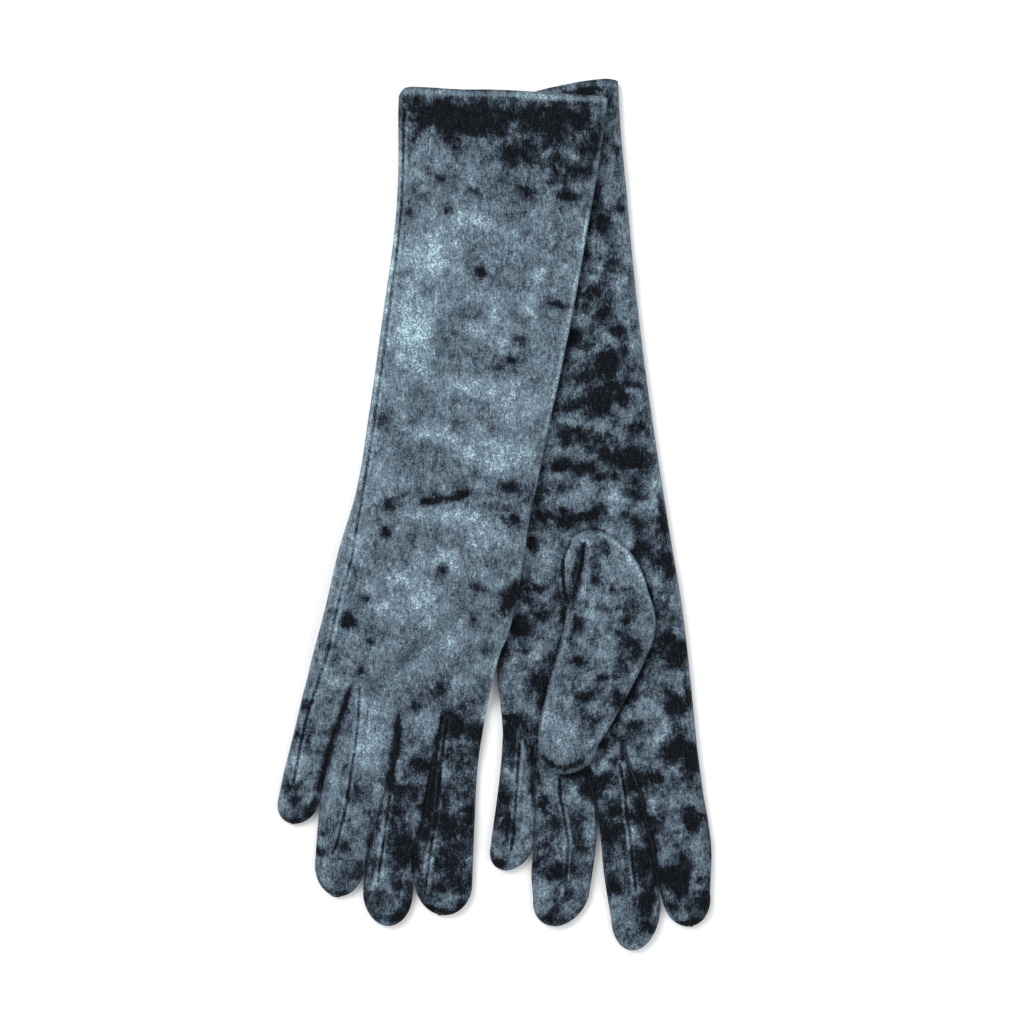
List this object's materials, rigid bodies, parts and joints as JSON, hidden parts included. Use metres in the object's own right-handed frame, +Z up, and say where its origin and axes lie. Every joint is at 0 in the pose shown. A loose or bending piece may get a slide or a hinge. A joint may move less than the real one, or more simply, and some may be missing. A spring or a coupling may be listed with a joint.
{
  "type": "pair of opera gloves",
  "caption": "Pair of long velvet gloves laid flat and crossed at the cuffs, one back of hand up, one palm up with its thumb folded over the palm.",
  "frame": {"origin": "on the table, under the middle of the pair's outline", "axes": "+Y along the pair from fingertips to cuffs, +X towards the left glove's index finger, +Z up from the table"},
  "size_m": [0.2114, 0.4227, 0.0157],
  "materials": {
    "velvet_right_back": "crushed slate-blue velvet, back of the hand",
    "velvet_palm_side": "crushed slate-blue velvet, palm side",
    "velvet_fourchette": "crushed slate-blue velvet, darker where it turns to the side",
    "velvet_turned_in": "turned-in edge of the velvet"
  },
  "bodies": {
    "left_hand": {"left_trank_back": "velvet_palm_side", "left_trank_palm": "velvet_palm_side", "left_cuff_hem": "velvet_turned_in", "left_side_seam": "velvet_turned_in", "left_thumb_gusset": "velvet_fourchette"},
    "left_index_finger": {"left_index_back": "velvet_palm_side", "left_index_front": "velvet_palm_side", "left_index_fourchette_little_side": "velvet_fourchette"},
    "left_middle_finger": {"left_middle_back": "velvet_palm_side", "left_middle_front": "velvet_palm_side", "left_middle_fourchette_little_side": "velvet_fourchette", "left_middle_fourchette_index_side": "velvet_fourchette"},
    "left_ring_finger": {"left_ring_back": "velvet_palm_side", "left_ring_front": "velvet_palm_side", "left_ring_fourchette_little_side": "velvet_fourchette", "left_ring_fourchette_index_side": "velvet_fourchette"},
    "left_little_finger": {"left_little_back": "velvet_palm_side", "left_little_front": "velvet_palm_side", "left_little_fourchette_index_side": "velvet_fourchette"},
    "left_thumb_sleeve": {"left_thumb": "velvet_palm_side"},
    "right_hand": {"right_trank_back": "velvet_right_back", "right_trank_palm": "velvet_palm_side", "right_cuff_hem": "velvet_turned_in", "right_side_seam": "velvet_turned_in", "right_thumb_gusset": "velvet_fourchette"},
    "right_index_finger": {"right_index_back": "velvet_right_back", "right_index_front": "velvet_palm_side", "right_index_fourchette_little_side": "velvet_fourchette"},
    "right_middle_finger": {"right_middle_back": "velvet_right_back", "right_middle_front": "velvet_palm_side", "right_middle_fourchette_little_side": "velvet_fourchette", "right_middle_fourchette_index_side": "velvet_fourchette"},
    "right_ring_finger": {"right_ring_back": "velvet_right_back", "right_ring_front": "velvet_palm_side", "right_ring_fourchette_little_side": "velvet_fourchette", "right_ring_fourchette_index_side": "velvet_fourchette"},
    "right_little_finger": {"right_little_back": "velvet_right_back", "right_little_front": "velvet_palm_side", "right_little_fourchette_index_side": "velvet_fourchette"},
    "right_thumb_sleeve": {"right_thumb": "velvet_palm_side"}
  },
  "joints": [
    {"name": "left_index_fold", "type": "hinge", "parent": "left_hand", "child": "left_index_finger", "pos_m": [0.0823, -0.1127, 0.0076], "axis": [-0.9886, -0.1506, 0], "range_deg": [0, 60]},
    {"name": "left_middle_fold", "type": "hinge", "parent": "left_hand", "child": "left_middle_finger", "pos_m": [0.0557, -0.1181, 0.0076], "axis": [-0.9872, -0.1592, 0], "range_deg": [0, 60]},
    {"name": "left_ring_fold", "type": "hinge", "parent": "left_hand", "child": "left_ring_finger", "pos_m": [0.0349, -0.1214, 0.0076], "axis": [-0.9999, 0.0147, 0], "range_deg": [0, 60]},
    {"name": "left_little_fold", "type": "hinge", "parent": "left_hand", "child": "left_little_finger", "pos_m": [0.0128, -0.107, 0.0076], "axis": [-0.9939, 0.1104, 0], "range_deg": [0, 60]},
    {"name": "left_thumb_swing", "type": "hinge", "parent": "left_hand", "child": "left_thumb_sleeve", "pos_m": [0.058, -0.045, 0.0139], "axis": [-0.9596, 0.2813, 0], "range_deg": [0, 90]},
    {"name": "right_glove_lift", "type": "slide", "parent": "left_hand", "child": "right_hand", "axis": [0, 0, 1], "range_m": [0, 0.15]},
    {"name": "right_index_fold", "type": "hinge", "parent": "right_hand", "child": "right_index_finger", "pos_m": [-0.0135, -0.0967, 0.0076], "axis": [-0.9913, 0.1317, 0], "range_deg": [0, 60]},
    {"name": "right_middle_fold", "type": "hinge", "parent": "right_hand", "child": "right_middle_finger", "pos_m": [-0.036, -0.0953, 0.0076], "axis": [-0.9852, 0.1714, 0], "range_deg": [0, 60]},
    {"name": "right_ring_fold", "type": "hinge", "parent": "right_hand", "child": "right_ring_finger", "pos_m": [-0.0581, -0.0887, 0.0076], "axis": [-0.9804, 0.1971, 0], "range_deg": [0, 60]},
    {"name": "right_little_fold", "type": "hinge", "parent": "right_hand", "child": "right_little_finger", "pos_m": [-0.0812, -0.0828, 0.0076], "axis": [-0.9687, 0.2482, 0], "range_deg": [0, 60]},
    {"name": "right_thumb_swing", "type": "hinge", "parent": "right_hand", "child": "right_thumb_sleeve", "pos_m": [-0.0207, -0.0107, 0], "axis": [0.6798, -0.7334, 0], "range_deg": [0, 90]}
  ]
}
